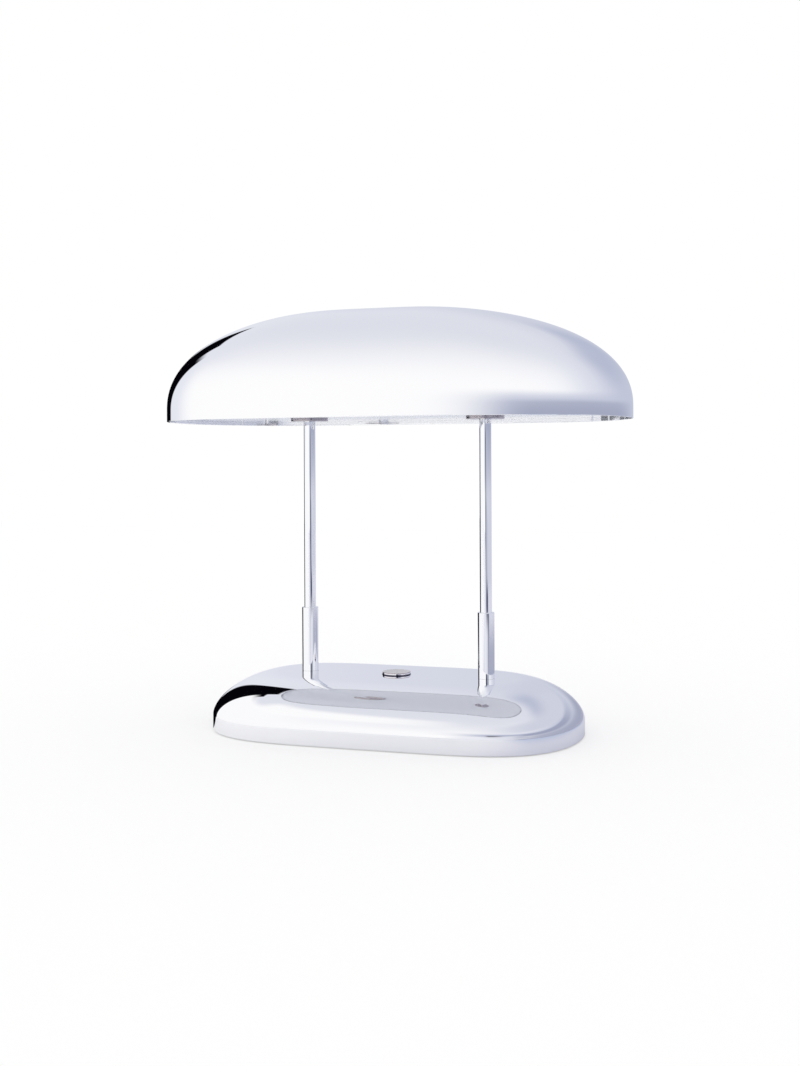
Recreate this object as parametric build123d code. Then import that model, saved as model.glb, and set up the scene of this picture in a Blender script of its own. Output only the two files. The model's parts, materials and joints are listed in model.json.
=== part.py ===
from build123d import *
import os
from dataclasses import dataclass, replace
from math import asin, atan2, cos, degrees, pi, sin, sqrt

os.makedirs("parts", exist_ok=True)

# Table lamp with an oval domed shade on two stems above an oval domed base.
# Lengths are in millimetres, X along the lamp, Y to the back and Z up from the table.

# Clearances and tool overruns
running_gap = 0.08
slip_gap = 0.15
seat_gap = 0.05
panel_gap = 0.35
overrun = 1.0

# Base cover, a pressing on the plan |x/a|^n + (y/b)^2 = 1, domed up to a flat oval
base_half_length = 157.2
base_half_width = 88.4
base_flat_half_length = 103.0
base_flat_half_width = 42.0
base_height = 45.6
base_wall = 13.0
base_plan_power = 4.9
base_round_power = 1.8
base_crown_power = 1.65
cover_skin = 1.0
rim_gap = 0.8

# Shade, a taller domed pressing of the same family
shade_half_length = 197.6
shade_half_width = 106.0
shade_flat_half_length = 48.0
shade_flat_half_width = 50.0
shade_height = 89.2
shade_wall = 10.0
shade_plan_power = 4.8
shade_round_power = 2.0
shade_crown_power = 2.2
shade_skin = 1.0
shade_rim_height = 258.8

# Points and sections that both pressings are drawn with
plan_points = 40
crown_sections = 12
wall_sections = 3

# Stems and the sleeves around their feet
stem_spacing = 155.0
stem_radius = 5.0
stem_bore = 3.4
stem_neck_radius = 4.4
stem_end_height = 8.0
stem_top_reach = 1.5
sleeve_radius = 7.0
sleeve_top = 100.0
sleeve_edge = 0.5

# Rosettes that carry the diffuser, and the spacers over it
rosette_radius = 16.0
rosette_thickness = 3.0
rosette_edge = 0.9
rosette_recess = 0.4
diffuser_thickness = 3.0
diffuser_edge_gap = 0.6
spacer_radius = 6.0
spacer_height = 10.0

# Base plate, feet and ballast
plate_thickness = 1.5
foot_radius = 9.0
foot_thickness = 2.0
foot_edge = 0.4
foot_spread_share = 0.66
foot_depth_share = 0.56
ballast_thickness = 7.0
ballast_inset = 8.0
ballast_edge = 1.2
boss_radius = 13.0
pocket_half_length = 55.0
pocket_half_width = 30.0
pocket_corner = 6.0
slot_half_width = 4.0
counterbore_radius = 9.4
counterbore_depth = 11.0

# Screws that hold the plate to the ballast
plate_screw_radius = 2.0
plate_screw_head_radius = 3.6
plate_screw_head_height = 1.4
plate_screw_length = 6.5
plate_screw_spread_share = 0.68
plate_screw_depth_share = 0.36

# Nuts and washers on the stems
nut_across_flats = 14.0
nut_height = 5.0
nut_edge = 0.4
washer_radius = 8.6
washer_thickness = 1.2

# Push button
button_radius = 12.0
button_proud = 2.2
button_depth = 9.5
button_wall = 1.2
button_top_thickness = 2.0
button_dish = 0.6
button_edge = 0.7
button_gap = 0.35
button_travel = 1.5
button_bottom_gap = 0.8
button_boss_radius = 4.0
button_boss_depth = 1.6

# Plunger and its spring
plunger_radius = 2.5
plunger_flange_radius = 4.6
plunger_flange_thickness = 2.0
plunger_stop_gap = 0.1
spring_wire = 0.7
spring_mean_radius = 5.6
spring_turns = 4
spring_end_gap = 0.1

# Switch body under its bracket
switch_length = 22.0
switch_width = 18.0
switch_depth = 22.0
switch_edge = 1.0
switch_neck_radius = 6.8
switch_cavity_radius = 6.0
switch_cavity_depth = 9.0
switch_roof = 4.0
switch_nut_across_flats = 17.0
switch_nut_height = 2.6
switch_neck_over_nut = 0.5
terminal_width = 4.8
terminal_thickness = 0.8
terminal_length = 5.0
terminal_pitch = 9.0

# Bent strip that carries the switch
strip_thickness = 1.5
strip_width = 24.0
strip_span = 13.0
strip_foot = 9.0
strip_bend = 2.5
rivet_radius = 1.5
rivet_head_radius = 2.4
rivet_head_height = 1.0

# Terminal block and earth screw on the base plate
block_length = 30.0
block_width = 13.0
block_height = 12.0
block_edge = 0.8
block_distance = 36.0
block_ways = 3
block_pitch = 9.0
block_well_radius = 2.4
block_well_depth = 4.0
block_screw_radius = 2.1
block_screw_height = 3.0
slot_width = 0.6
slot_depth = 0.8
earth_distance = 40.0
earth_screw_radius = 2.0
earth_head_radius = 3.8
earth_head_height = 2.4
earth_stack = 3.0
earth_tag_radius = 5.0
earth_tag_thickness = 0.8

# Bush at the back for the supply cord
bush_over_plate = 0.5
bush_hole_radius = 4.0
bush_bore = 3.0
bush_flange_radius = 5.6
bush_flange_thickness = 2.0
bush_snap_radius = 4.6
bush_snap_thickness = 2.4
bush_edge = 0.6
bush_play = 0.25

# Bar inside the shade
bar_end_gap = 12.0
bar_width = 26.0
bar_thickness = 2.0

# Lugs that join the shade to the bar
lug_width = 20.0
lug_foot = 28.0
lug_drop = 10.0
lug_thickness = 1.5
lug_bend = 2.5
lug_screw_inset = 9.0

# Lamp holders lying along the bar
lamp_axis_over_bar = 34.5
holder_distance = 14.0
holder_radius = 12.0
holder_length = 38.0
holder_skirt_length = 24.0
holder_skirt_radius = 11.0
holder_bore = 7.4
holder_bore_depth = 25.0
holder_edge = 1.0
bracket_thickness = 1.5
bracket_width = 18.0
bracket_foot = 24.0
bracket_rise_over_axis = 9.0
bracket_bend = 2.5

# Candle bulbs with screw caps
cap_radius = 6.8
cap_length = 22.0
cap_contact_radius = 2.6
cap_contact_height = 2.0
cap_insulator_radius = 4.6
cap_insulator_height = 2.6
thread_depth = 0.6
thread_turns = 6
bulb_radius = 17.5
bulb_length = 78.0
bulb_neck_radius = 6.6
bulb_tip_radius = 3.0
bulb_wall = 1.0
bulb_wide_share = 0.38

# Small screws on the bar
bar_screw_radius = 2.0
bar_screw_head_radius = 3.6
bar_screw_head_height = 2.2
bar_nut_across_flats = 7.0
bar_nut_height = 3.0
bar_screw_spare = 1.0

# Leads from the terminal block to the lamp holders
lead_radius = 1.8
lead_height = 5.5
lead_exit_run = 4.5
lead_in_block = 2.0
lead_exit_radius = 3.5
lead_turn_radius = 9.0
lead_foot_radius = 4.0
lead_top_radius = 5.0
lead_rise_over_stem = 5.3
lead_entry_distance = 11.0
lead_entry_radius = 6.0
lead_side = 25.5
lead_side_start = 15.0
lead_side_end = 33.0


@dataclass
class Form:
    """A dome on an oval plan: a straight wall, then a crown that rises to a flat oval."""

    half_length: float
    half_width: float
    flat_half_length: float
    flat_half_width: float
    height: float
    wall: float
    plan_power: float
    round_power: float
    crown_power: float
    bottom: float

    def inside(self, gap):
        """The same form, smaller by gap on every side and at the top."""
        return replace(
            self,
            half_length=self.half_length - gap,
            half_width=self.half_width - gap,
            height=self.height - gap,
        )

    def plan_at(self, share):
        """Half length and half width of the crown, from its flat at 0 to the wall at 1."""
        half_length = self.flat_half_length + (self.half_length - self.flat_half_length) * share
        half_width = self.flat_half_width + (self.half_width - self.flat_half_width) * share
        return half_length, half_width

    def rise_at(self, share):
        """Height of the crown at the same share of the way out."""
        rise_share = (1 - share**self.round_power) ** (1 / self.crown_power)
        return self.bottom + self.wall + (self.height - self.wall) * rise_share

    def end_at(self, y, height):
        """Distance from the centre to the end wall at the side position y."""
        over_wall = max(height - self.bottom - self.wall, 0)
        rise_share = over_wall / (self.height - self.wall)
        share = (1 - rise_share**self.crown_power) ** (1 / self.round_power)
        half_length, half_width = self.plan_at(share)
        return half_length * (1 - (y / half_width) ** 2) ** (1 / self.plan_power)


def plan_outline(form, share, height):
    """Closed smooth outline of the form at one share of the way out, drawn at one height."""
    half_length, half_width = form.plan_at(share)
    corners = []
    for step in range(plan_points):
        turn = 2 * pi * step / plan_points
        length_share = sin(turn)
        width_share = sqrt(1 - abs(length_share) ** form.plan_power)
        side = 1 if cos(turn) >= 0 else -1
        corners.append(Vector(half_length * length_share, half_width * width_share * side, height))
    return Wire([Edge.make_spline(corners, periodic=True)])


def dome(form, low):
    """Solid dome: the wall from low, then the crown in sections up to its flat oval."""
    wall_top = form.bottom + form.wall
    outlines = []
    for section in range(wall_sections):
        rise_share = section / wall_sections
        outlines.append(plan_outline(form, 1, low + (wall_top - low) * rise_share))
    for section in range(crown_sections):
        share = cos(pi / 2 * section / crown_sections)
        outlines.append(plan_outline(form, share, form.rise_at(share)))
    outlines.append(plan_outline(form, 0, form.rise_at(0)))
    return Solid.make_loft(outlines)


def plan_slab(form, bottom, top):
    """Flat slab on the plan of a form."""
    face = Face(plan_outline(form, 1, bottom))
    return extrude(face, top - bottom, dir=(0, 0, 1))


def disc(radius, bottom, top, x=0, y=0):
    """Upright cylinder between two heights."""
    seated = (Align.CENTER, Align.CENTER, Align.MIN)
    return Pos(x, y, bottom) * Cylinder(radius, top - bottom, align=seated)


def block(length, width, bottom, top, x=0, y=0):
    """Upright box between two heights, centred on x and y."""
    seated = (Align.CENTER, Align.CENTER, Align.MIN)
    return Pos(x, y, bottom) * Box(length, width, top - bottom, align=seated)


def hexagon(across_flats, bottom, top, x=0, y=0):
    """Hexagonal nut blank, its corners broken top and bottom."""
    corner_radius = across_flats / sqrt(3)
    outline = RegularPolygon(corner_radius, 6)
    body = extrude(Pos(x, y, bottom) * outline, top - bottom)
    return chamfer(body.edges().filter_by(Plane.XY), nut_edge)


def turned(*corners):
    """Solid turned about Z from the corners (radius, height) of half its section."""
    outline = Polyline(*[(radius, 0, height) for radius, height in corners], close=True)
    return revolve(make_face(outline), Axis.Z)


def slotted(head, top, x, y):
    """Cuts a screwdriver slot into the head of a screw."""
    bounds = head.bounding_box()
    length = bounds.size.X + 2 * overrun
    return head - block(length, slot_width, top - slot_depth, top + overrun, x, y)


def group(pieces):
    """Several separate solids that share one node."""
    return Compound(children=[solid for piece in pieces for solid in piece.solids()])


# Heights worked out from the sizes above
sides = {"left": -1, "right": 1}
stem_distance = stem_spacing / 2
plate_bottom = foot_thickness
plate_top = plate_bottom + plate_thickness
ballast_top = plate_top + ballast_thickness
cover = Form(
    base_half_length,
    base_half_width,
    base_flat_half_length,
    base_flat_half_width,
    base_height - rim_gap,
    base_wall - rim_gap,
    base_plan_power,
    base_round_power,
    base_crown_power,
    rim_gap,
)
cover_inside = cover.inside(cover_skin)
shade = Form(
    shade_half_length,
    shade_half_width,
    shade_flat_half_length,
    shade_flat_half_width,
    shade_height,
    shade_wall,
    shade_plan_power,
    shade_round_power,
    shade_crown_power,
    shade_rim_height,
)
shade_inside = shade.inside(shade_skin)
counterbore_top = plate_top + counterbore_depth
shoulder = shade_rim_height + rosette_recess
rosette_top = shoulder + rosette_thickness
diffuser_top = rosette_top + diffuser_thickness
bar_bottom = diffuser_top + spacer_height
bar_top = bar_bottom + bar_thickness
bar_half_length = shade_inside.end_at(bar_width / 2, bar_top) - bar_end_gap
holder_screw_distance = holder_distance + bracket_foot / 2
lug_screw_distance = bar_half_length - lug_screw_inset
stem_nut_bottom = bar_top + washer_thickness
stem_top = stem_nut_bottom + nut_height + stem_top_reach
crown_top = base_height
button_top = crown_top + button_proud
button_skirt = button_top - button_depth
button_ceiling = button_top - button_top_thickness
strip_top = button_skirt - button_travel - button_bottom_gap
switch_top = strip_top - strip_thickness
neck_top = strip_top + switch_nut_height + switch_neck_over_nut
switch_bottom = switch_top - switch_depth
cavity_top = switch_top - switch_roof
lamp_axis = bar_top + lamp_axis_over_bar
bush_centre = plate_top + bush_snap_radius + bush_over_plate
rivet_distance = (strip_span + strip_thickness + strip_bend + strip_foot + strip_span) / 2


def base_cover():
    """Pressed cover with holes for the stems, the button and the bush."""
    shell = dome(cover, rim_gap) - dome(cover_inside, rim_gap - overrun)
    for side in sides.values():
        shell -= disc(stem_radius + slip_gap, ballast_top, crown_top + overrun, side * stem_distance)
    shell -= disc(button_radius + button_gap, ballast_top, crown_top + overrun)
    hole = Cylinder(bush_hole_radius, cover_skin + 2 * overrun, rotation=(90, 0, 0))
    return shell - Pos(0, base_half_width - cover_skin / 2, bush_centre) * hole


def foot_places():
    """Four feet near the ends of the plate."""
    for x_side in sides.values():
        for y_side in sides.values():
            yield (
                x_side * foot_spread_share * base_half_length,
                y_side * foot_depth_share * base_half_width,
            )


def plate_screw_places():
    """Four screws between the feet and the stems."""
    for x_side in sides.values():
        for y_side in sides.values():
            yield (
                x_side * plate_screw_spread_share * base_half_length,
                y_side * plate_screw_depth_share * base_half_width,
            )


def base_plate():
    """Flat sheet that closes the base, inside the rim of the cover."""
    plate = plan_slab(cover_inside.inside(panel_gap), plate_bottom, plate_top)
    for x, y in plate_screw_places():
        hole_radius = plate_screw_radius + slip_gap
        plate -= disc(hole_radius, plate_bottom - overrun, plate_top + overrun, x, y)
    for y_side in sides.values():
        y = y_side * rivet_distance
        plate -= disc(rivet_radius, plate_bottom - overrun, plate_top + overrun, 0, y)
    plate -= disc(earth_screw_radius, plate_bottom - overrun, plate_top + overrun, earth_distance)
    return plate


def feet():
    """Soft pads under the plate, their lower edge broken."""
    pads = []
    for x, y in foot_places():
        pad = disc(foot_radius, 0, foot_thickness, x, y)
        pads.append(chamfer(pad.edges().group_by(Axis.Z)[0], foot_edge))
    return group(pads)


def base_plate_screws():
    """Pan head screws up through the plate into the ballast."""
    screws = []
    head_bottom = plate_bottom - plate_screw_head_height
    for x, y in plate_screw_places():
        head = disc(plate_screw_head_radius, head_bottom, plate_bottom, x, y)
        head = fillet(head.edges().group_by(Axis.Z)[0], plate_screw_head_height / 2)
        shank = disc(plate_screw_radius, plate_bottom, plate_bottom + plate_screw_length, x, y)
        low = head_bottom - overrun
        high = head_bottom + slot_depth
        cross = block(2 * plate_screw_radius, slot_width, low, high, x, y)
        cross += block(slot_width, 2 * plate_screw_radius, low, high, x, y)
        screws.append(head + shank - cross)
    return group(screws)


def ballast():
    """Cast weight with bosses under the stems and a pocket for the switch and the wiring."""
    casting_form = cover_inside.inside(ballast_inset)
    casting = plan_slab(casting_form, plate_top, ballast_top)
    casting = chamfer(casting.edges().group_by(Axis.Z)[-1], ballast_edge)
    for side in sides.values():
        casting += disc(boss_radius, plate_top, crown_top, side * stem_distance)
    pocket = RectangleRounded(2 * pocket_half_length, 2 * pocket_half_width, pocket_corner)
    casting -= extrude(Pos(0, 0, plate_top - overrun) * pocket, crown_top)
    for side in sides.values():
        x = side * stem_distance
        casting -= disc(counterbore_radius, plate_top - overrun, counterbore_top, x)
        casting -= disc(stem_radius + slip_gap, plate_top, crown_top + overrun, x)
        slot_length = stem_distance - pocket_half_length + overrun
        slot_centre = side * (stem_distance - slot_length / 2)
        slot_size = 2 * slot_half_width
        casting -= block(slot_length, slot_size, plate_top - overrun, ballast_top + overrun, slot_centre)
    for x, y in plate_screw_places():
        casting -= disc(plate_screw_radius, plate_top - overrun, ballast_top + overrun, x, y)
    return casting & dome(cover_inside.inside(seat_gap), plate_top)


def cord_bush():
    """Snap-in bush turned about the hole at the back of the cover."""
    wall_outside = base_half_width
    face_height = wall_outside + bush_flange_thickness + bush_play
    flange_height = wall_outside + bush_play
    neck_height = wall_outside - cover_skin - bush_play
    snap_height = neck_height - bush_snap_thickness
    neck_radius = bush_hole_radius - slip_gap
    bush = turned(
        (bush_bore, snap_height),
        (neck_radius, snap_height),
        (bush_snap_radius, neck_height),
        (neck_radius, neck_height),
        (neck_radius, flange_height),
        (bush_flange_radius, flange_height),
        (bush_flange_radius, face_height - bush_edge),
        (bush_flange_radius - bush_edge, face_height),
        (bush_bore + bush_edge, face_height),
        (bush_bore, face_height - bush_edge),
    )
    return Pos(0, 0, bush_centre) * Rot(X=-90) * bush


def terminal_block():
    """Moulded block with a screw well and a wire hole for each way."""
    top = plate_top + block_height
    body = block(block_width, block_length, plate_top, top, -block_distance)
    body = chamfer(body.edges().group_by(Axis.Z)[-1], block_edge)
    for y in block_places():
        well_bottom = top - block_well_depth
        body -= disc(block_well_radius, well_bottom, top + overrun, -block_distance, y)
        tunnel = Cylinder(lead_radius + slip_gap, block_width + 2 * overrun, rotation=(0, 90, 0))
        body -= Pos(-block_distance, y, lead_height) * tunnel
    return body


def block_places():
    """Positions of the ways along the terminal block."""
    for way in range(block_ways):
        yield (way - (block_ways - 1) / 2) * block_pitch


def terminal_screws():
    """Slotted screws in the wells of the terminal block."""
    screws = []
    bottom = plate_top + block_height - block_well_depth
    for y in block_places():
        top = bottom + block_screw_height
        screw = disc(block_screw_radius, bottom, top, -block_distance, y)
        screws.append(slotted(screw, top, -block_distance, y))
    return group(screws)


def earth_screw():
    """Earth screw with its tag, in the base plate."""
    head_bottom = plate_top + earth_stack
    head_top = head_bottom + earth_head_height
    screw = disc(earth_screw_radius, plate_bottom, head_bottom, earth_distance)
    screw += disc(earth_tag_radius, plate_top, plate_top + earth_tag_thickness, earth_distance)
    head = disc(earth_head_radius, head_bottom, head_top, earth_distance)
    return screw + slotted(head, head_top, earth_distance, 0)


def switch_bracket():
    """Bent strip over the switch, its feet on the base plate."""
    middle = strip_thickness / 2
    path = FilletPolyline(
        (strip_span + strip_foot, plate_top + middle),
        (strip_span + middle, plate_top + middle),
        (strip_span + middle, strip_top - middle),
        (-strip_span - middle, strip_top - middle),
        (-strip_span - middle, plate_top + middle),
        (-strip_span - strip_foot, plate_top + middle),
        radius=strip_bend,
    )
    section = Plane.YZ * trace(path, strip_thickness)
    strip = extrude(section, strip_width / 2, both=True)
    strip -= disc(switch_neck_radius + slip_gap, switch_top - overrun, strip_top + overrun)
    for y_side in sides.values():
        y = y_side * rivet_distance
        strip -= disc(rivet_radius, plate_top - overrun, plate_top + strip_thickness + overrun, 0, y)
    return strip


def bracket_rivets():
    """Rivets through the feet of the strip and the base plate."""
    rivets = []
    head_bottom = plate_top + strip_thickness
    for y_side in sides.values():
        y = y_side * rivet_distance
        shank = disc(rivet_radius, plate_bottom, head_bottom, 0, y)
        head = disc(rivet_head_radius, head_bottom, head_bottom + rivet_head_height, 0, y)
        head = fillet(head.edges().group_by(Axis.Z)[-1], rivet_head_height / 2)
        rivets.append(shank + head)
    return group(rivets)


def switch_body():
    """Moulded switch with a threaded neck, bored for the plunger."""
    body = block(switch_length, switch_width, switch_bottom, switch_top)
    body = chamfer(body.edges().filter_by(Axis.Z), switch_edge)
    body += disc(switch_neck_radius, switch_top, neck_top)
    body -= disc(plunger_radius + running_gap, cavity_top - overrun, neck_top + overrun)
    return body - disc(switch_cavity_radius, cavity_top - switch_cavity_depth, cavity_top)


def switch_nut():
    """Thin nut that clamps the switch to its strip."""
    nut = hexagon(switch_nut_across_flats, strip_top, strip_top + switch_nut_height)
    return nut - disc(switch_neck_radius + seat_gap, switch_top, neck_top)


def switch_terminals():
    """Two blades under the switch."""
    blades = []
    low = switch_bottom - terminal_length
    for side in sides.values():
        x = side * terminal_pitch / 2
        blades.append(block(terminal_thickness, terminal_width, low, switch_bottom, x))
    return group(blades)


def switch_plunger():
    """Plunger that the button sits on, kept in by its flange."""
    flange_top = cavity_top - plunger_stop_gap
    flange = disc(plunger_flange_radius, flange_top - plunger_flange_thickness, flange_top)
    return flange + disc(plunger_radius, flange_top, button_ceiling)


def switch_button():
    """Round cap with a shallow dish on top, hollow below, on a boss for the plunger."""
    cap = disc(button_radius, button_skirt, button_top)
    cap = fillet(cap.edges().group_by(Axis.Z)[-1], button_edge)
    dish_radius = button_radius - 2 * button_edge
    ball_radius = (dish_radius**2 + button_dish**2) / (2 * button_dish)
    cap -= Pos(0, 0, button_top - button_dish + ball_radius) * Sphere(ball_radius)
    hollow = disc(button_radius - button_wall, button_skirt - overrun, button_ceiling)
    hollow -= disc(button_boss_radius, button_ceiling - button_boss_depth, button_ceiling)
    return cap - hollow - disc(plunger_radius + seat_gap, button_skirt, button_ceiling)


def switch_spring():
    """Open coil around the plunger, from the neck of the switch to the button."""
    low = neck_top + spring_end_gap + spring_wire / 2
    high = button_ceiling - spring_end_gap - spring_wire / 2
    pitch = (high - low) / spring_turns
    coil = Pos(0, 0, low) * Helix(pitch, high - low, spring_mean_radius)
    start = Plane(origin=coil @ 0, z_dir=coil % 0)
    return sweep(start * Circle(spring_wire / 2), path=coil, is_frenet=True)


def stem(side):
    """Tube from the ballast to the bar, stepped where the rosette rests on it."""
    tube = turned(
        (stem_bore, stem_end_height),
        (stem_radius, stem_end_height),
        (stem_radius, shoulder),
        (stem_neck_radius, shoulder),
        (stem_neck_radius, stem_top),
        (stem_bore, stem_top),
    )
    return Pos(side * stem_distance, 0, 0) * tube


def sleeve(side):
    """Sleeve around the foot of a stem, its lower end shaped to the cover."""
    tube = disc(sleeve_radius, ballast_top, sleeve_top)
    tube = fillet(tube.edges().group_by(Axis.Z)[-1], sleeve_edge)
    tube -= disc(stem_radius + seat_gap, ballast_top - overrun, sleeve_top + overrun)
    tube = Pos(side * stem_distance, 0, 0) * tube
    return tube - dome(cover.inside(-seat_gap), rim_gap)


def stem_base_washers():
    """Washers in the counterbores of the ballast."""
    washers = []
    bottom = counterbore_top - washer_thickness
    for side in sides.values():
        x = side * stem_distance
        washer = disc(washer_radius, bottom, counterbore_top, x)
        washers.append(washer - disc(stem_radius + slip_gap, bottom - overrun, counterbore_top + overrun, x))
    return group(washers)


def stem_base_nuts():
    """Nuts that pull the stems, sleeves and cover down onto the ballast."""
    nuts = []
    top = counterbore_top - washer_thickness
    for side in sides.values():
        x = side * stem_distance
        nut = hexagon(nut_across_flats, top - nut_height, top, x)
        nuts.append(nut - disc(stem_radius + seat_gap, plate_top, counterbore_top, x))
    return group(nuts)


def rosette(side):
    """Round flange on the shoulder of a stem, under the diffuser."""
    plate = disc(rosette_radius, shoulder, rosette_top)
    plate = fillet(plate.edges().group_by(Axis.Z)[0], rosette_edge)
    plate -= disc(stem_neck_radius + seat_gap, shoulder - overrun, rosette_top + overrun)
    return Pos(side * stem_distance, 0, 0) * plate


def diffuser():
    """Opal sheet that closes the shade, just inside its rim."""
    sheet = plan_slab(shade_inside.inside(diffuser_edge_gap), rosette_top, diffuser_top)
    for side in sides.values():
        hole_radius = stem_neck_radius + slip_gap
        sheet -= disc(hole_radius, rosette_top - overrun, diffuser_top + overrun, side * stem_distance)
    return sheet


def stem_spacers():
    """Spacer tubes on the stems between the diffuser and the bar."""
    spacers = []
    for side in sides.values():
        x = side * stem_distance
        tube = disc(spacer_radius, diffuser_top, bar_bottom, x)
        spacers.append(tube - disc(stem_neck_radius + seat_gap, rosette_top, bar_top, x))
    return group(spacers)


def bar_screw_places():
    """Screws along the bar: one for each lamp holder and one for each lug."""
    for side in sides.values():
        yield side * holder_screw_distance
        yield side * lug_screw_distance


def chassis_bar():
    """Round-ended strip across the stems that carries the lamp holders and the shade."""
    bar = extrude(Pos(0, 0, bar_bottom) * SlotOverall(2 * bar_half_length, bar_width), bar_thickness)
    for side in sides.values():
        hole_radius = stem_neck_radius + slip_gap
        bar -= disc(hole_radius, bar_bottom - overrun, bar_top + overrun, side * stem_distance)
    for x in bar_screw_places():
        bar -= disc(bar_screw_radius + slip_gap, bar_bottom - overrun, bar_top + overrun, x)
    return bar


def stem_top_washers():
    """Washers on the bar."""
    washers = []
    for side in sides.values():
        x = side * stem_distance
        washer = disc(washer_radius, bar_top, stem_nut_bottom, x)
        washers.append(washer - disc(stem_neck_radius + slip_gap, bar_bottom, stem_top, x))
    return group(washers)


def stem_top_nuts():
    """Nuts at the upper ends of the stems."""
    nuts = []
    for side in sides.values():
        x = side * stem_distance
        nut = hexagon(nut_across_flats, stem_nut_bottom, stem_nut_bottom + nut_height, x)
        nuts.append(nut - disc(stem_neck_radius + seat_gap, bar_bottom, stem_top, x))
    return group(nuts)


def bar_screws(distance, stack):
    """Pan head screws on both sides of the centre, through stack millimetres of strip on the bar."""
    screws = []
    head_bottom = bar_top + stack
    shank_bottom = bar_bottom - bar_nut_height - bar_screw_spare
    for side in sides.values():
        x = side * distance
        head = disc(bar_screw_head_radius, head_bottom, head_bottom + bar_screw_head_height, x)
        head = fillet(head.edges().group_by(Axis.Z)[-1], bar_screw_head_height / 2)
        head = slotted(head, head_bottom + bar_screw_head_height, x, 0)
        screws.append(head + disc(bar_screw_radius, shank_bottom, head_bottom, x))
    return group(screws)


def bar_nuts():
    """Nuts under the bar, one on each screw."""
    nuts = []
    for x in bar_screw_places():
        nut = hexagon(bar_nut_across_flats, bar_bottom - bar_nut_height, bar_bottom, x)
        nuts.append(nut - disc(bar_screw_radius + seat_gap, diffuser_top, bar_top, x))
    return group(nuts)


def holder_bracket(side):
    """Angle that stands on the bar and carries a lamp holder."""
    middle = bracket_thickness / 2
    path = FilletPolyline(
        (side * (holder_distance + bracket_foot), bar_top + middle),
        (side * (holder_distance - middle), bar_top + middle),
        (side * (holder_distance - middle), lamp_axis + bracket_rise_over_axis),
        radius=bracket_bend,
    )
    section = Plane.XZ * trace(path, bracket_thickness)
    angle = extrude(section, bracket_width / 2, both=True)
    hole_radius = bar_screw_radius + slip_gap
    return angle - disc(hole_radius, bar_bottom, lamp_axis, side * holder_screw_distance)


def along_bar(piece, side):
    """Lays a piece turned about Z along the bar, its foot at the lamp holder's back."""
    return Pos(side * holder_distance, 0, lamp_axis) * Rot(Y=side * 90) * piece


def lamp_holder(side):
    """Moulded holder with a narrower skirt at its mouth."""
    skirt = holder_length - holder_skirt_length
    body = turned(
        (0, 0),
        (holder_radius - holder_edge, 0),
        (holder_radius, holder_edge),
        (holder_radius, skirt),
        (holder_skirt_radius, skirt + holder_edge),
        (holder_skirt_radius, holder_length - holder_edge),
        (holder_skirt_radius - holder_edge, holder_length),
        (holder_bore, holder_length),
        (holder_bore, holder_length - holder_bore_depth),
        (0, holder_length - holder_bore_depth),
    )
    return along_bar(body, side)


def bulb_cap(side):
    """Screw cap with round thread ridges, an insulator and a contact."""
    foot = holder_length - cap_length
    contact = foot - cap_insulator_height
    ridge = (cap_length - cap_insulator_height) / (2 * thread_turns)
    corners = [
        (0, contact),
        (cap_contact_radius, contact),
        (cap_contact_radius, contact + cap_contact_height / 2),
        (cap_insulator_radius, foot),
    ]
    for step in range(2 * thread_turns):
        radius = cap_radius - thread_depth * (step % 2)
        corners.append((radius, foot + ridge * (step + 1 / 2)))
    corners.append((cap_radius - thread_depth, holder_length))
    corners.append((0, holder_length))
    return along_bar(turned(*corners), side)


def bulb_blank(skin):
    """Solid candle form turned from three arcs that touch, smaller by skin on every side."""
    foot = holder_length + seat_gap
    wide = foot + bulb_length * bulb_wide_share
    ball = foot + bulb_length - bulb_tip_radius
    low_rise = wide - foot
    high_rise = ball - wide
    spread = bulb_radius - bulb_neck_radius
    low_radius = (spread**2 + low_rise**2) / (2 * spread)
    reach = bulb_radius**2 + high_rise**2 - bulb_tip_radius**2
    high_radius = reach / (2 * (bulb_radius - bulb_tip_radius))
    low_turn = degrees(asin((low_rise - skin) / (low_radius - skin)))
    high_turn = degrees(atan2(high_rise, high_radius - bulb_radius))
    low = CenterArc((bulb_radius - low_radius, wide), low_radius - skin, -low_turn, low_turn)
    high = CenterArc((bulb_radius - high_radius, wide), high_radius - skin, 0, high_turn)
    tip = CenterArc((0, ball), bulb_tip_radius - skin, high_turn, 90 - high_turn)
    axis_line = Line(tip @ 1, (0, foot + skin))
    foot_line = Line((0, foot + skin), low @ 0)
    return revolve(Plane.XZ * make_face([low, high, tip, axis_line, foot_line]), Axis.Z)


def bulb_glass(side):
    """Candle bulb of thin glass, widest a third of the way up."""
    return along_bar(bulb_blank(0) - bulb_blank(bulb_wall), side)


def shade_lug(side):
    """Angle between the end of the bar and the end wall of the shade."""
    lug_top = bar_top + lug_thickness
    wall = shade_inside.end_at(lug_width / 2, lug_top) - slip_gap
    middle = lug_thickness / 2
    path = FilletPolyline(
        (side * (wall - lug_foot), bar_top + middle),
        (side * (wall - middle), bar_top + middle),
        (side * (wall - middle), bar_top - lug_drop),
        radius=lug_bend,
    )
    section = Plane.XZ * trace(path, lug_thickness)
    angle = extrude(section, lug_width / 2, both=True)
    hole_radius = bar_screw_radius + slip_gap
    return angle - disc(hole_radius, bar_bottom, lamp_axis, side * lug_screw_distance)


def shade_shell():
    """Domed pressing, open below."""
    return dome(shade, shade_rim_height) - dome(shade_inside, shade_rim_height - overrun)


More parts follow.
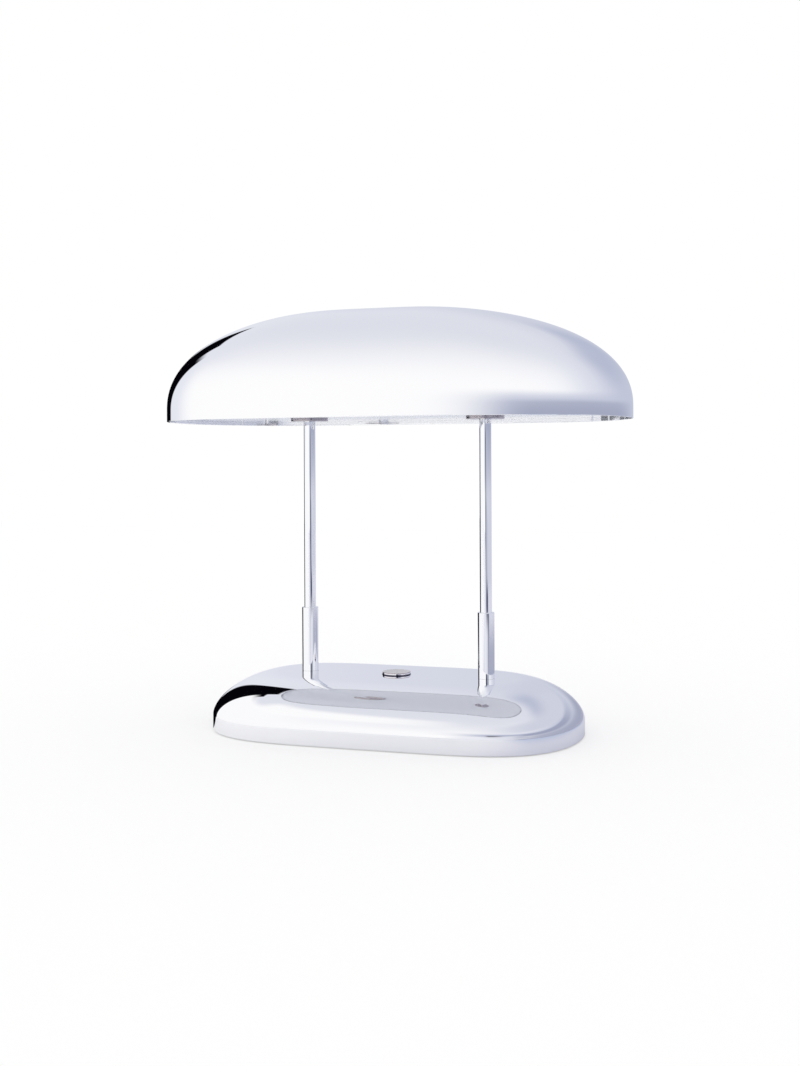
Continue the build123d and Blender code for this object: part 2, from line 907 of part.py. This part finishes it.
def lead(side):
    """Flex from the terminal block, through the ballast and the stem, to a lamp holder."""
    face = side * block_width / 2 - block_distance
    start = face - side * lead_in_block
    exit_end = face + side * lead_exit_run
    way = side * block_pitch
    rise = stem_top + lead_rise_over_stem
    entry = side * (holder_distance + lead_entry_distance)
    holder_bottom = lamp_axis - holder_radius
    foot = side * stem_distance
    points = [(start, way, lead_height), (exit_end, way, lead_height)]
    radii = [lead_exit_radius]
    if side > 0:
        points.append((-lead_side_start, lead_side, lead_height))
        points.append((lead_side_end, lead_side, lead_height))
        radii += [lead_turn_radius, lead_turn_radius]
    points += [(side * pocket_half_length, 0, lead_height), (foot, 0, lead_height)]
    points += [(foot, 0, rise), (entry, 0, rise), (entry, 0, holder_bottom)]
    radii += [lead_turn_radius, lead_foot_radius, lead_top_radius, lead_entry_radius]
    path = FilletPolyline(*points, radius=radii)
    start_plane = Plane(origin=path @ 0, z_dir=path % 0)
    return sweep(start_plane * Circle(lead_radius), path=path)


nodes = {
    "base_cover": base_cover(),
    "base_plate": base_plate(),
    "base_plate_screws": base_plate_screws(),
    "feet": feet(),
    "ballast": ballast(),
    "cord_bush": cord_bush(),
    "terminal_block": terminal_block(),
    "terminal_screws": terminal_screws(),
    "earth_screw": earth_screw(),
    "switch_bracket": switch_bracket(),
    "bracket_rivets": bracket_rivets(),
    "switch_body": switch_body(),
    "switch_nut": switch_nut(),
    "switch_terminals": switch_terminals(),
    "switch_plunger": switch_plunger(),
    "switch_button": switch_button(),
    "switch_spring": switch_spring(),
    "stem_base_washers": stem_base_washers(),
    "stem_base_nuts": stem_base_nuts(),
    "diffuser": diffuser(),
    "stem_spacers": stem_spacers(),
    "chassis_bar": chassis_bar(),
    "stem_top_washers": stem_top_washers(),
    "stem_top_nuts": stem_top_nuts(),
    "holder_screws": bar_screws(holder_screw_distance, bracket_thickness),
    "lug_screws": bar_screws(lug_screw_distance, lug_thickness),
    "bar_nuts": bar_nuts(),
    "shade_shell": shade_shell(),
}
for name, side in sides.items():
    nodes["stem_" + name] = stem(side)
    nodes["sleeve_" + name] = sleeve(side)
    nodes["rosette_" + name] = rosette(side)
    nodes["holder_bracket_" + name] = holder_bracket(side)
    nodes["lamp_holder_" + name] = lamp_holder(side)
    nodes["bulb_cap_" + name] = bulb_cap(side)
    nodes["bulb_glass_" + name] = bulb_glass(side)
    nodes["shade_lug_" + name] = shade_lug(side)
    nodes["lead_" + name] = lead(side)

for name, shape in nodes.items():
    export_step(shape, "parts/" + name + ".step")
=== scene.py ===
import json
from math import cos, pi, radians, sin

import bpy
import numpy as np
from mathutils import Matrix, Vector
from mathutils.geometry import delaunay_2d_cdt


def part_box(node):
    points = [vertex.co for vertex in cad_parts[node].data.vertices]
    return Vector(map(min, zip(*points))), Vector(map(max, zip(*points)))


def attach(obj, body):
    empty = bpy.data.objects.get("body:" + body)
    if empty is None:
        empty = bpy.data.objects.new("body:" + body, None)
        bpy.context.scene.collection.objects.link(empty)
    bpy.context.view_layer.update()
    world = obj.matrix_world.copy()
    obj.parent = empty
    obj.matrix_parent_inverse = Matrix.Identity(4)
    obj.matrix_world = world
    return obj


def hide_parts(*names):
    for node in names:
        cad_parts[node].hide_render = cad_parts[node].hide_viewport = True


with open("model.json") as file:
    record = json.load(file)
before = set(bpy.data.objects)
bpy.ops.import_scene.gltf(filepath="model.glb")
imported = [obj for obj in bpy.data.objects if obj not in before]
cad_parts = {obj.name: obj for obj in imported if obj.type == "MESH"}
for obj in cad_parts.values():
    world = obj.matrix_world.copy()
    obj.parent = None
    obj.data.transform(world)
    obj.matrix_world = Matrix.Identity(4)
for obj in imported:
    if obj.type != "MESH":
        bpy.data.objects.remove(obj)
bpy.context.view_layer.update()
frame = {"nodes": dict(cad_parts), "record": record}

# Lengths are in metres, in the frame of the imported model: X along the lamp, -Y to the front.

# The photograph's camera: its frame in pixels, its angles in degrees and its place in metres
PHOTO_WIDTH = 800
PHOTO_HEIGHT = 1066
CAMERA_AZIMUTH = 17.35
CAMERA_DISTANCE = 1.0747
CAMERA_HEIGHT = 0.2245
CAMERA_ROLL = -0.24
FOCAL_PIXELS = 1275.2
HORIZON_ROW = 461.6
CENTRE_COLUMN = 395.6
SENSOR_MILLIMETRES = 36.0

# Plan and crown of the two pressings: the powers of their curves, the flat oval on top, where the
# wall ends and the sheet's thickness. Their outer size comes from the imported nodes.
BASE = {
    "plan_power": 4.9,
    "round_power": 1.8,
    "crown_power": 1.65,
    "flat_half_length": 0.103,
    "flat_half_width": 0.042,
    "wall_top": 0.013,
    "skin": 0.001,
}
SHADE = {
    "plan_power": 4.8,
    "round_power": 2.0,
    "crown_power": 2.2,
    "flat_half_length": 0.048,
    "flat_half_width": 0.050,
    "wall_top": 0.2688,
    "skin": 0.001,
}

# Gap between the base's cover and what passes through it
HOLE_GAP = 0.00035

# The sheet's rounded rim: how far in its two middle rings lie, and how far its edges draw back,
# both as shares of the sheet's thickness
RIM_INSET = 0.25
RIM_BACK = 0.3

# Mesh density
AROUND = 288
UP_WALL = 10
OVER_CROWN = 80
AROUND_HOLE = 64
AROUND_SCREEN = 96

# How near two points are one when the flat oval is filled, and from how many degrees an edge is sharp
SAME_POINT = 1e-7
SHARP_ANGLE = 40


def box_of(node):
    """Lowest and highest corner of a node, as vectors."""
    low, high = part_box(node)
    return Vector(low), Vector(high)


def new_object(name, verts, faces, material):
    """Mesh object with smooth faces, and with sharp edges where these turn far enough."""
    mesh = bpy.data.meshes.new(name)
    mesh.from_pydata([tuple(v) for v in verts], [], faces)
    mesh.update()
    mesh.polygons.foreach_set("use_smooth", [True] * len(mesh.polygons))
    mesh.set_sharp_from_angle(angle=radians(SHARP_ANGLE))
    mesh.materials.append(material)
    piece = bpy.data.objects.new(name, mesh)
    bpy.context.scene.collection.objects.link(piece)
    return piece


# Materials

# Noise: its detail, and the part of its range that is spread over a property's range
NOISE_DETAIL = 3.0
NOISE_RANGE = (0.3, 0.7)
BUMP_DISTANCE = 0.0002

# Scale of the unevenness that polishing leaves
POLISH_SCALE = 22.0
BUTTON_POLISH_SCALE = 60.0

# The curve that takes a screen's levels to linear light
SCREEN_TOP = 255
SCREEN_STRAIGHT_END = 0.04045
SCREEN_STRAIGHT_SLOPE = 12.92
SCREEN_OFFSET = 0.055
SCREEN_POWER = 2.4

# Sockets of the colour mixing node that share their names with others of the node
MIX_SHARE, MIX_FIRST, MIX_SECOND = 0, 6, 7
MIX_RESULT = 2

# Colours of the button as they show on a screen, from 0 to 255. The first is painted shade, laid on the
# wall's foot where the wall stands in the cover's hole.
BUTTON_PAINTED_SHADE = (70, 66, 84)
BUTTON_WALL = (246, 244, 248)
BUTTON_RIM = (160, 132, 132)
BUTTON_DISH = (222, 217, 211)

# Where the button's colours change: heights over the cover where the painted shade at its foot fades into
# the bright wall, heights under its own top, and how much its surface faces up. Then its roughness in the
# dish and elsewhere.
BUTTON_SHADE_HEIGHTS = (0.0004, 0.0013)
BUTTON_RIM_DEPTHS = (0.0006, 0.0002)
BUTTON_DISH_FACING = (0.80, 0.95)
BUTTON_SATIN = (0.22, 0.34)
BUTTON_GLOSS = (0.03, 0.08)


def shader(name):
    """New material with its node tree and its main shader."""
    material = bpy.data.materials.new(name)
    material.use_nodes = True
    tree = material.node_tree
    return material, tree, tree.nodes["Principled BSDF"]


def add_noise(tree, scale):
    """Noise over the object's own coordinates."""
    coordinates = tree.nodes.new("ShaderNodeTexCoord")
    noise = tree.nodes.new("ShaderNodeTexNoise")
    noise.inputs["Scale"].default_value = scale
    noise.inputs["Detail"].default_value = NOISE_DETAIL
    tree.links.new(coordinates.outputs["Object"], noise.inputs["Vector"])
    return noise.outputs["Fac"]


def spread(tree, noise, low, high):
    """Spreads a noise value over a range."""
    node = tree.nodes.new("ShaderNodeMapRange")
    node.inputs["From Min"].default_value, node.inputs["From Max"].default_value = NOISE_RANGE
    node.inputs["To Min"].default_value = low
    node.inputs["To Max"].default_value = high
    tree.links.new(noise, node.inputs["Value"])
    return node.outputs["Result"]


def add_bump(tree, main, height, strength):
    """Makes the surface uneven without moving it."""
    bump = tree.nodes.new("ShaderNodeBump")
    bump.inputs["Strength"].default_value = strength
    bump.inputs["Distance"].default_value = BUMP_DISTANCE
    tree.links.new(height, bump.inputs["Height"])
    tree.links.new(bump.outputs["Normal"], main.inputs["Normal"])


def linear(colour):
    """Screen colour from 0 to 255, as the linear numbers that a shader takes."""
    numbers = []
    for level in colour:
        share = level / SCREEN_TOP
        if share <= SCREEN_STRAIGHT_END:
            numbers.append(share / SCREEN_STRAIGHT_SLOPE)
        else:
            numbers.append(((share + SCREEN_OFFSET) / (1 + SCREEN_OFFSET)) ** SCREEN_POWER)
    return numbers


def math_node(tree, operation, first, second=None):
    """One sum on numbers or sockets."""
    node = tree.nodes.new("ShaderNodeMath")
    node.operation = operation
    for socket, value in zip(node.inputs, (first, second)):
        if isinstance(value, (int, float)):
            socket.default_value = value
        elif value is not None:
            tree.links.new(value, socket)
    return node.outputs[0]


def soft_step(tree, value, low, high):
    """0 below low, 1 above high and smooth between them."""
    node = tree.nodes.new("ShaderNodeMapRange")
    node.interpolation_type = "SMOOTHSTEP"
    node.inputs["From Min"].default_value = low
    node.inputs["From Max"].default_value = high
    tree.links.new(value, node.inputs["Value"])
    return node.outputs["Result"]


def mix_colour(tree, share, first, second):
    """Mixes two colours, each a screen colour or a socket, by a share of the second."""
    node = tree.nodes.new("ShaderNodeMix")
    node.data_type = "RGBA"
    tree.links.new(share, node.inputs[MIX_SHARE])
    for number, colour in ((MIX_FIRST, first), (MIX_SECOND, second)):
        if isinstance(colour, tuple):
            node.inputs[number].default_value = (*linear(colour), 1)
        else:
            tree.links.new(colour, node.inputs[number])
    return node.outputs[MIX_RESULT]


def band(tree, value, start, low, high, end):
    """0 up to start, 1 from low to high and 0 again from end on."""
    rise = soft_step(tree, value, start, low)
    fall = soft_step(tree, value, high, end)
    return math_node(tree, "SUBTRACT", rise, fall)


def azimuth_of(tree, x, y):
    """Azimuth of a place or direction in degrees, from the front towards the right end."""
    back = math_node(tree, "MULTIPLY", y, -1)
    return math_node(tree, "DEGREES", math_node(tree, "ARCTAN2", x, back))


def axes_of(tree, vector):
    """X, Y and Z of a vector."""
    split = tree.nodes.new("ShaderNodeSeparateXYZ")
    tree.links.new(vector, split.inputs[0])
    return split.outputs


def place_of(tree):
    """Coordinates of a point in metres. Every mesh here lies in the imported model's frame."""
    return axes_of(tree, tree.nodes.new("ShaderNodeTexCoord").outputs["Object"])


def chrome(name, tint, rough_low, rough_high):
    """Mirror plating with the faint unevenness of polish."""
    material, tree, main = shader(name)
    main.inputs["Base Color"].default_value = (*tint, 1)
    main.inputs["Metallic"].default_value = 1
    haze = add_noise(tree, POLISH_SCALE)
    tree.links.new(spread(tree, haze, rough_low, rough_high), main.inputs["Roughness"])
    return material


def plain(name, colour, low, high, scale, metallic=0.0, bump=0.0):
    """Plastic or plain metal with uneven gloss and a fine surface."""
    material, tree, main = shader(name)
    main.inputs["Base Color"].default_value = (*colour, 1)
    main.inputs["Metallic"].default_value = metallic
    grain = add_noise(tree, scale)
    tree.links.new(spread(tree, grain, low, high), main.inputs["Roughness"])
    if bump:
        add_bump(tree, main, grain, bump)
    return material


def button_metal():
    """Bright wall with painted shade towards its foot, a brown rim line and a satin beige dish."""
    material, tree, main = shader("button")
    main.inputs["Metallic"].default_value = 1
    foot = box_of("base_cover")[1].z
    top = box_of("switch_button")[1].z
    height = place_of(tree)["Z"]
    facing = axes_of(tree, tree.nodes.new("ShaderNodeNewGeometry").outputs["Normal"])["Z"]
    dish = soft_step(tree, facing, *BUTTON_DISH_FACING)
    # The wall's lower part is painted shade, darkest against the cover
    above_painted_shade = soft_step(tree, height, *(foot + step for step in BUTTON_SHADE_HEIGHTS))
    at_rim = soft_step(tree, height, *(top - step for step in BUTTON_RIM_DEPTHS))
    wall = mix_colour(tree, above_painted_shade, BUTTON_PAINTED_SHADE, BUTTON_WALL)
    rim = mix_colour(tree, at_rim, wall, BUTTON_RIM)
    tree.links.new(mix_colour(tree, dish, rim, BUTTON_DISH), main.inputs["Base Color"])
    haze = add_noise(tree, BUTTON_POLISH_SCALE)
    satin = spread(tree, haze, *BUTTON_SATIN)
    gloss = spread(tree, haze, *BUTTON_GLOSS)
    rough = math_node(tree, "MULTIPLY", math_node(tree, "SUBTRACT", satin, gloss), dish)
    tree.links.new(math_node(tree, "ADD", rough, gloss), main.inputs["Roughness"])
    return material


CHROME = chrome("chrome", (0.985, 0.985, 0.99), 0.01, 0.04)
# The rosettes' dark tint is painted shade: the real discs are chrome that faces down and shows dark
ROSETTE_SHADED_CHROME = chrome("rosette", (0.50, 0.46, 0.48), 0.10, 0.16)

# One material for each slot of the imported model. The plain ones have their linear colour, their
# lowest and highest roughness, the scale of their grain, how metallic they are and their bump.
MATERIALS = {
    "chrome": CHROME,
    "stem_chrome": chrome("stem_chrome", (0.975, 0.98, 0.99), 0.015, 0.04),
    "button": button_metal(),
    "zinc": plain("zinc", (0.60, 0.61, 0.62), 0.25, 0.45, 120, 1.0, 0.05),
    "cast_iron": plain("cast_iron", (0.06, 0.06, 0.065), 0.6, 0.85, 300, 0.3, 0.5),
    "plate": plain("plate", (0.05, 0.05, 0.053), 0.4, 0.6, 500, 0.0, 0.2),
    "foot": plain("foot", (0.045, 0.045, 0.047), 0.6, 0.8, 600, 0.0, 0.2),
    "bush": plain("bush", (0.05, 0.05, 0.052), 0.4, 0.55, 400, 0.0, 0.1),
    "bakelite": plain("bakelite", (0.03, 0.03, 0.032), 0.25, 0.4, 300),
    "holder": plain("holder", (0.86, 0.85, 0.82), 0.3, 0.45, 300),
    "block": plain("block", (0.78, 0.77, 0.73), 0.4, 0.5, 300),
    "brass": plain("brass", (0.76, 0.60, 0.30), 0.2, 0.35, 200, 1.0),
    "spring": plain("spring", (0.50, 0.50, 0.51), 0.25, 0.4, 200, 1.0),
    # The opal sheet's grey-blue is painted shade: a white diffuser darkened to the tone it shows unlit
    # under the shade
    "opal": plain("opal", (0.64, 0.66, 0.73), 0.14, 0.17, 8),
    "glass": plain("glass", (0.92, 0.92, 0.91), 0.3, 0.4, 200),
    "cap": plain("cap", (0.70, 0.70, 0.71), 0.2, 0.35, 200, 1.0),
    "lead": plain("lead", (0.86, 0.86, 0.85), 0.35, 0.45, 300),
}

# Every node of the imported model takes the finish of its slot, and the rosettes a duller, darker chrome
# whose darkness is painted shade
slot_of = {part["node"]: part["material_slot"] for part in frame["record"]["subparts"]}
for node, piece in frame["nodes"].items():
    material = ROSETTE_SHADED_CHROME if node.startswith("rosette") else MATERIALS[slot_of[node]]
    if not piece.material_slots:
        piece.data.materials.append(material)
    for slot in piece.material_slots:
        slot.material = material


# The two pressings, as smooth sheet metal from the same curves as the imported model

def crown_rings(low, high, form, gap):
    """Rings of points from the rim up the wall and over the crown to the flat oval."""
    half_length = (high.x - low.x) / 2 - gap
    half_width = (high.y - low.y) / 2 - gap
    rise = high.z - gap - form["wall_top"]
    turns = np.linspace(0, 2 * pi, AROUND, endpoint=False)
    along = np.sin(turns)
    across = np.sqrt(np.maximum(1 - np.abs(along) ** form["plan_power"], 0))
    across = across * np.where(np.cos(turns) >= 0, 1, -1)
    shares = [1.0] * UP_WALL + [cos(pi / 2 * step / OVER_CROWN) for step in range(OVER_CROWN)] + [0.0]
    heights = list(np.linspace(low.z, form["wall_top"], UP_WALL, endpoint=False))
    for share in shares[UP_WALL:]:
        climb = (1 - share ** form["round_power"]) ** (1 / form["crown_power"])
        heights.append(form["wall_top"] + rise * climb)
    rings = []
    for share, height in zip(shares, heights):
        length = form["flat_half_length"] + (half_length - form["flat_half_length"]) * share
        width = form["flat_half_width"] + (half_width - form["flat_half_width"]) * share
        rings.append(np.column_stack([length * along, width * across, np.full(AROUND, height)]))
    return rings


def circle(x, y, radius, height, count=AROUND_HOLE):
    """Level ring of points."""
    turns = np.linspace(0, 2 * pi, count, endpoint=False)
    return np.column_stack([x + radius * np.sin(turns), y + radius * np.cos(turns), np.full(count, height)])


def closed_loop(start, count):
    """Pairs of neighbours round a loop of numbered points."""
    return [(start + step, start + (step + 1) % count) for step in range(count)]


def flat_faces(outline, holes):
    """Triangles that fill the flat oval around its holes. They number the outline's points first."""
    places = np.concatenate([outline] + [circle(*hole, 0) for hole in holes])[:, :2]
    edges = closed_loop(0, AROUND)
    for number in range(len(holes)):
        edges += closed_loop(AROUND + number * AROUND_HOLE, AROUND_HOLE)
    filled = delaunay_2d_cdt([Vector(place) for place in places], edges, [], 0, SAME_POINT)
    triangles, sources = filled[2], filled[3]
    original = [source[0] for source in sources]
    kept = []
    for triangle in triangles:
        corners = tuple(original[corner] for corner in triangle)
        owners = {(corner - AROUND) // AROUND_HOLE if corner >= AROUND else None for corner in corners}
        if len(owners) > 1 or None in owners:
            kept.append(corners)
    return kept


def pressed_sheet(name, low, high, form, holes, material):
    """Closed thin sheet: the outside, the inside, the rounded rim and the walls of the holes."""
    outside = crown_rings(low, high, form, 0.0)
    inside = crown_rings(low, high, form, form["skin"])
    rim_outer = outside[0] * (1 - RIM_INSET) + inside[0] * RIM_INSET
    rim_inner = outside[0] * RIM_INSET + inside[0] * (1 - RIM_INSET)
    for rim in (outside[0], inside[0]):
        rim[:, 2] += form["skin"] * RIM_BACK
    rings = outside[::-1] + [rim_outer, rim_inner] + inside
    verts = list(rings)
    faces = []
    for ring in range(len(rings) - 1):
        for first, second in closed_loop(ring * AROUND, AROUND):
            faces.append((first, first + AROUND, second + AROUND, second))
    upper_holes = len(rings) * AROUND
    lower_holes = upper_holes + len(holes) * AROUND_HOLE
    for height in (high.z, high.z - form["skin"]):
        verts += [circle(*hole, height) for hole in holes]
    last_ring = (len(rings) - 1) * AROUND
    for corners in flat_faces(outside[-1], holes):
        upper = [corner + (0 if corner < AROUND else upper_holes - AROUND) for corner in corners]
        lower = [corner + (last_ring if corner < AROUND else lower_holes - AROUND) for corner in corners]
        faces += [tuple(upper), tuple(reversed(lower))]
    down = lower_holes - upper_holes
    for number in range(len(holes)):
        for first, second in closed_loop(upper_holes + number * AROUND_HOLE, AROUND_HOLE):
            faces.append((first, second, second + down, first + down))
    return new_object(name, np.concatenate(verts), faces, material)


def hole_of(node, gap):
    """Place and radius of a round hole that a node passes through."""
    low, high = box_of(node)
    return ((low.x + high.x) / 2, (low.y + high.y) / 2, (high.x - low.x) / 2 + gap)


def pressing(name, node, form, holes):
    """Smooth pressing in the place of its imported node."""
    low, high = box_of(node)
    piece = pressed_sheet(name, low, high, form, holes, CHROME)
    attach(piece, "root")
    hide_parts(node)


base_holes = [hole_of(node, HOLE_GAP) for node in ("switch_button", "stem_left", "stem_right")]
pressing("base_pressing", "base_cover", BASE, base_holes)
pressing("shade_pressing", "shade_shell", SHADE, [])


# Studio: a pale floor and a soft surround, which polished metal reflects

# Colours of the surround as they show on a screen, from 0 to 255
WHITE = (255, 255, 255)
BLACK = (3, 3, 8)
CEILING = (221, 223, 233)

# Degrees above the horizon where the ceiling begins and where it is full
CEILING_RISE = (12, 76)

# Degrees from the front round to the back
HALF_TURN = 180

# The room's wall: azimuth from the front towards the right end, in degrees, and its colour
ROOM = [
    (-180, (203, 207, 222)),
    (-170, (203, 207, 222)),
    (-150, (232, 234, 242)),
    (-110, (228, 230, 240)),
    (-82, (236, 237, 245)),
    (-55, (250, 250, 253)),
    (-20, (255, 255, 255)),
    (40, (251, 251, 254)),
    (62, (245, 246, 250)),
    (85, (228, 230, 240)),
    (115, (213, 216, 230)),
    (145, (200, 204, 222)),
    (170, (203, 207, 222)),
    (180, (203, 207, 222)),
]

# Patches on two round screens that only mirrors see. Each has four azimuths in degrees and four
# heights in metres (where it starts, is full, begins to fade and ends), its lean in degrees for a
# metre of height, its colour and its strength. Later patches lie over earlier ones.
FAR_RADIUS = 0.65
FAR_TOP = 1.30
FAR_PATCHES = [
    ((-12, 24, 150, 180), (0.16, 0.22, 0.295, 0.40), 0, (196, 201, 219), 0.92),
    ((-5, 35, 120, 165), (0.16, 0.22, 0.275, 0.315), 0, (146, 152, 178), 0.75),
    ((17, 21, 30, 38), (0.05, 0.10, 0.25, 0.28), 0, (24, 30, 52), 1.0),
    ((13, 18, 44, 56), (0.10, 0.125, 0.16, 0.185), 0, (24, 36, 70), 0.95),
    ((24, 34, 50, 66), (0.05, 0.10, 0.25, 0.28), 0, (188, 192, 210), 0.6),
    ((95, 135, 158, 178), (0.20, 0.60, 0.68, 1.1), 0, (165, 173, 200), 0.6),
    ((-133, -131, -109, -107), (-0.2, -0.1, 0.78, 0.81), 3, BLACK, 1.0),
    ((-130, -128, -117, -115), (0.28, 0.31, 0.60, 0.72), 30, BLACK, 1.0),
]
NEAR_RADIUS = 0.26
NEAR_TOP = 0.42
NEAR_PATCHES = [
    ((12, 78, 140, 165), (0.09, 0.115, 0.16, 0.28), 0, (206, 209, 223), 1.0),
    ((5, 20, 46, 62), (-0.2, -0.1, 0.05, 0.085), 0, (234, 235, 243), 0.95),
    ((28, 75, 140, 165), (-0.2, -0.1, 0.035, 0.085), 0, (150, 154, 179), 0.75),
    ((-92.5, -91, -45, 5), (-0.2, -0.1, 0.20, 0.26), -25, (252, 252, 254), 1.0),
    ((-76, -60, -25, 15), (0.16, 0.24, 0.30, 0.42), 0, WHITE, 0.9),
    ((-112, -111, -92, -91), (-0.2, -0.1, 0.34, 0.36), -22, BLACK, 1.0),
]

# The floor, and the share of plain white in what the camera sees of it
FLOOR_HALF_SIZE = 3.0
SHADOW_FADE = 0.5

# What a mirror sees of the floor: its left and right part, between which X the one turns into the
# other, and patches with four azimuths in degrees, four distances in metres, colour and strength
FLOOR_LEFT = (246, 246, 250)
FLOOR_RIGHT = (217, 218, 231)
FLOOR_TURN = (-0.17, 0.12)
FLOOR_PATCHES = [
    ((-120, -80, 35, 65), (-0.2, -0.1, 0.22, 0.30), WHITE, 0.6),
    ((15, 32, 48, 66), (0.24, 0.30, 5, 6), (48, 56, 88), 0.95),
    ((40, 60, 110, 140), (0.18, 0.22, 0.34, 0.44), (160, 180, 215), 0.5),
]

# The black band that mirrors see on the floor: the place it runs from, and its four azimuths there
DARK_FOOT = (-0.145, -0.045)
DARK_FOOT_TURNS = (-152, -149, -117, -114)


def directions(tree):
    """Azimuth and elevation of a direction of the room, in degrees."""
    x, y, z = axes_of(tree, tree.nodes.new("ShaderNodeTexCoord").outputs["Generated"])
    elevation = math_node(tree, "DEGREES", math_node(tree, "ARCSINE", z))
    return azimuth_of(tree, x, y), elevation


def room_colour(tree, azimuth):
    """Colour of the room's wall, smooth between the azimuths of ROOM."""
    node = tree.nodes.new("ShaderNodeValToRGB")
    share = math_node(tree, "DIVIDE", math_node(tree, "ADD", azimuth, HALF_TURN), 2 * HALF_TURN)
    tree.links.new(share, node.inputs[0])
    stops = node.color_ramp
    stops.interpolation = "B_SPLINE"
    middle = 0.5
    while len(stops.elements) < len(ROOM):
        stops.elements.new(middle)
    for stop, (angle, colour) in zip(stops.elements, ROOM):
        stop.position = (angle + HALF_TURN) / (2 * HALF_TURN)
        stop.color = (*linear(colour), 1)
    return node.outputs[0]


def glow_over(tree, surface, share, colour):
    """Lays a share of an even glow over a surface."""
    light = tree.nodes.new("ShaderNodeEmission")
    light.inputs["Color"].default_value = (*linear(colour), 1)
    mixer = tree.nodes.new("ShaderNodeMixShader")
    tree.links.new(share, mixer.inputs[0])
    tree.links.new(surface, mixer.inputs[1])
    tree.links.new(light.outputs[0], mixer.inputs[2])
    return mixer.outputs[0]


def surround():
    """World: only mirrors see the room, the rest gets even white light and the camera a white ground."""
    world = bpy.data.worlds.new("studio")
    bpy.context.scene.world = world
    world.use_nodes = True
    tree = world.node_tree
    azimuth, elevation = directions(tree)
    room = mix_colour(tree, soft_step(tree, elevation, *CEILING_RISE), room_colour(tree, azimuth), CEILING)
    path = tree.nodes.new("ShaderNodeLightPath")
    seen = mix_colour(tree, path.outputs["Is Glossy Ray"], WHITE, room)
    background = tree.nodes["Background"]
    background.inputs["Strength"].default_value = 1.0
    tree.links.new(seen, background.inputs["Color"])


def round_screen(name, radius, top, patches):
    """Standing round screen that only mirrors see, clear but for its patches."""
    material = bpy.data.materials.new(name)
    material.use_nodes = True
    tree = material.node_tree
    tree.nodes.remove(tree.nodes["Principled BSDF"])
    x, y, height = place_of(tree)
    azimuth = azimuth_of(tree, x, y)
    surface = tree.nodes.new("ShaderNodeBsdfTransparent").outputs[0]
    for turns, heights, lean, colour, strength in patches:
        leaning = math_node(tree, "SUBTRACT", azimuth, math_node(tree, "MULTIPLY", height, lean))
        mask = math_node(tree, "MULTIPLY", band(tree, leaning, *turns), band(tree, height, *heights))
        surface = glow_over(tree, surface, math_node(tree, "MULTIPLY", mask, strength), colour)
    tree.links.new(surface, tree.nodes["Material Output"].inputs["Surface"])
    verts = np.concatenate([circle(0, 0, radius, height, AROUND_SCREEN) for height in (0, top)])
    loop = closed_loop(0, AROUND_SCREEN)
    faces = [(first, second, second + AROUND_SCREEN, first + AROUND_SCREEN) for first, second in loop]
    screen = new_object(name, verts, faces, material)
    screen.visible_camera = False
    screen.visible_diffuse = False
    screen.visible_transmission = False
    screen.visible_shadow = False


def floor():
    """Pale floor. A mirror sees it a little greyer to the right, as it does the room."""
    half = FLOOR_HALF_SIZE
    verts = [(-half, -half, 0), (half, -half, 0), (half, half, 0), (-half, half, 0)]
    material, tree, main = shader("floor")
    main.inputs["Roughness"].default_value = 1
    main.inputs["Specular IOR Level"].default_value = 0
    x, y, _ = place_of(tree)
    tint = mix_colour(tree, soft_step(tree, x, *FLOOR_TURN), FLOOR_LEFT, FLOOR_RIGHT)
    squares = [math_node(tree, "POWER", axis, 2) for axis in (x, y)]
    away = math_node(tree, "SQRT", math_node(tree, "ADD", *squares))
    azimuth = azimuth_of(tree, x, y)
    for turns, distances, colour, strength in FLOOR_PATCHES:
        mask = math_node(tree, "MULTIPLY", band(tree, azimuth, *turns), band(tree, away, *distances))
        tint = mix_colour(tree, math_node(tree, "MULTIPLY", mask, strength), tint, colour)
    from_foot = [math_node(tree, "SUBTRACT", axis, start) for axis, start in zip((x, y), DARK_FOOT)]
    tint = mix_colour(tree, band(tree, azimuth_of(tree, *from_foot), *DARK_FOOT_TURNS), tint, BLACK)
    path = tree.nodes.new("ShaderNodeLightPath")
    colour = mix_colour(tree, path.outputs["Is Glossy Ray"], WHITE, tint)
    tree.links.new(colour, main.inputs["Base Color"])
    seen = math_node(tree, "MULTIPLY", path.outputs["Is Camera Ray"], SHADOW_FADE)
    surface = glow_over(tree, main.outputs[0], seen, WHITE)
    tree.links.new(surface, tree.nodes["Material Output"].inputs["Surface"])
    new_object("floor", verts, [(0, 1, 2, 3)], material)


def camera():
    """Camera of the photograph's view, its optical centre off the middle of the frame."""
    lens = bpy.data.cameras.new("camera")
    lens.sensor_fit = "AUTO"
    lens.sensor_width = SENSOR_MILLIMETRES
    lens.lens = FOCAL_PIXELS * SENSOR_MILLIMETRES / PHOTO_HEIGHT
    lens.shift_x = (PHOTO_WIDTH / 2 - CENTRE_COLUMN) / PHOTO_HEIGHT
    lens.shift_y = (HORIZON_ROW - PHOTO_HEIGHT / 2) / PHOTO_HEIGHT
    piece = bpy.data.objects.new("camera", lens)
    turn = radians(CAMERA_AZIMUTH)
    place = Vector((sin(turn), -cos(turn), 0)) * CAMERA_DISTANCE + Vector((0, 0, CAMERA_HEIGHT))
    aim = Matrix.Rotation(turn, 4, "Z") @ Matrix.Rotation(pi / 2, 4, "X")
    piece.matrix_world = Matrix.Translation(place) @ aim @ Matrix.Rotation(radians(CAMERA_ROLL), 4, "Z")
    bpy.context.scene.collection.objects.link(piece)
    bpy.context.scene.camera = piece


floor()
surround()
round_screen("far_screen", FAR_RADIUS, FAR_TOP, FAR_PATCHES)
round_screen("near_screen", NEAR_RADIUS, NEAR_TOP, NEAR_PATCHES)
camera()
bpy.context.scene.view_settings.view_transform = "Standard"
